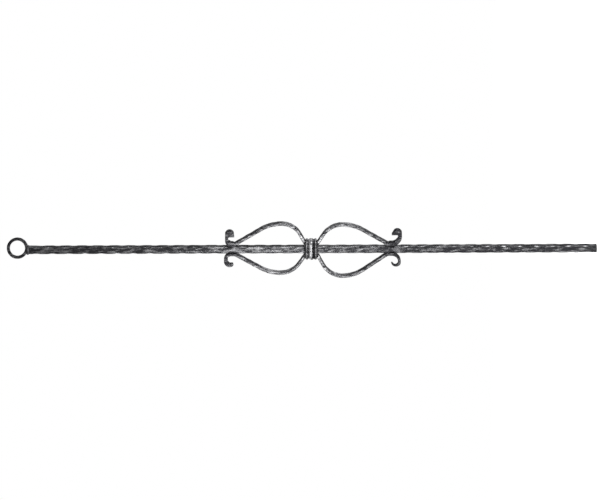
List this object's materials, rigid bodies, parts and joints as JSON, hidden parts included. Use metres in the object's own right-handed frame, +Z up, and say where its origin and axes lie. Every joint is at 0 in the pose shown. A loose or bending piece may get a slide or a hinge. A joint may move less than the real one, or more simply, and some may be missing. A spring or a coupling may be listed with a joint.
{
  "type": "iron stair baluster",
  "caption": "Upright hammered square-bar baluster with scrolls held by a moulded collar at mid height and a ring at the top.",
  "frame": {"origin": "centre of the foot face of the main bar", "axes": "+Z up along the main bar towards the ring, +X towards the scroll with the rolled heads, scrolls in the XZ plane, -Y the front"},
  "size_m": [0.098, 0.0246, 1],
  "materials": {
    "forged_iron": "hammered, blackened, semi-gloss"
  },
  "bodies": {
    "root": {"main_bar": "forged_iron", "top_ring": "forged_iron", "ring_weld": "forged_iron", "right_scroll": "forged_iron", "left_scroll": "forged_iron", "collar": "forged_iron"}
  },
  "joints": []
}
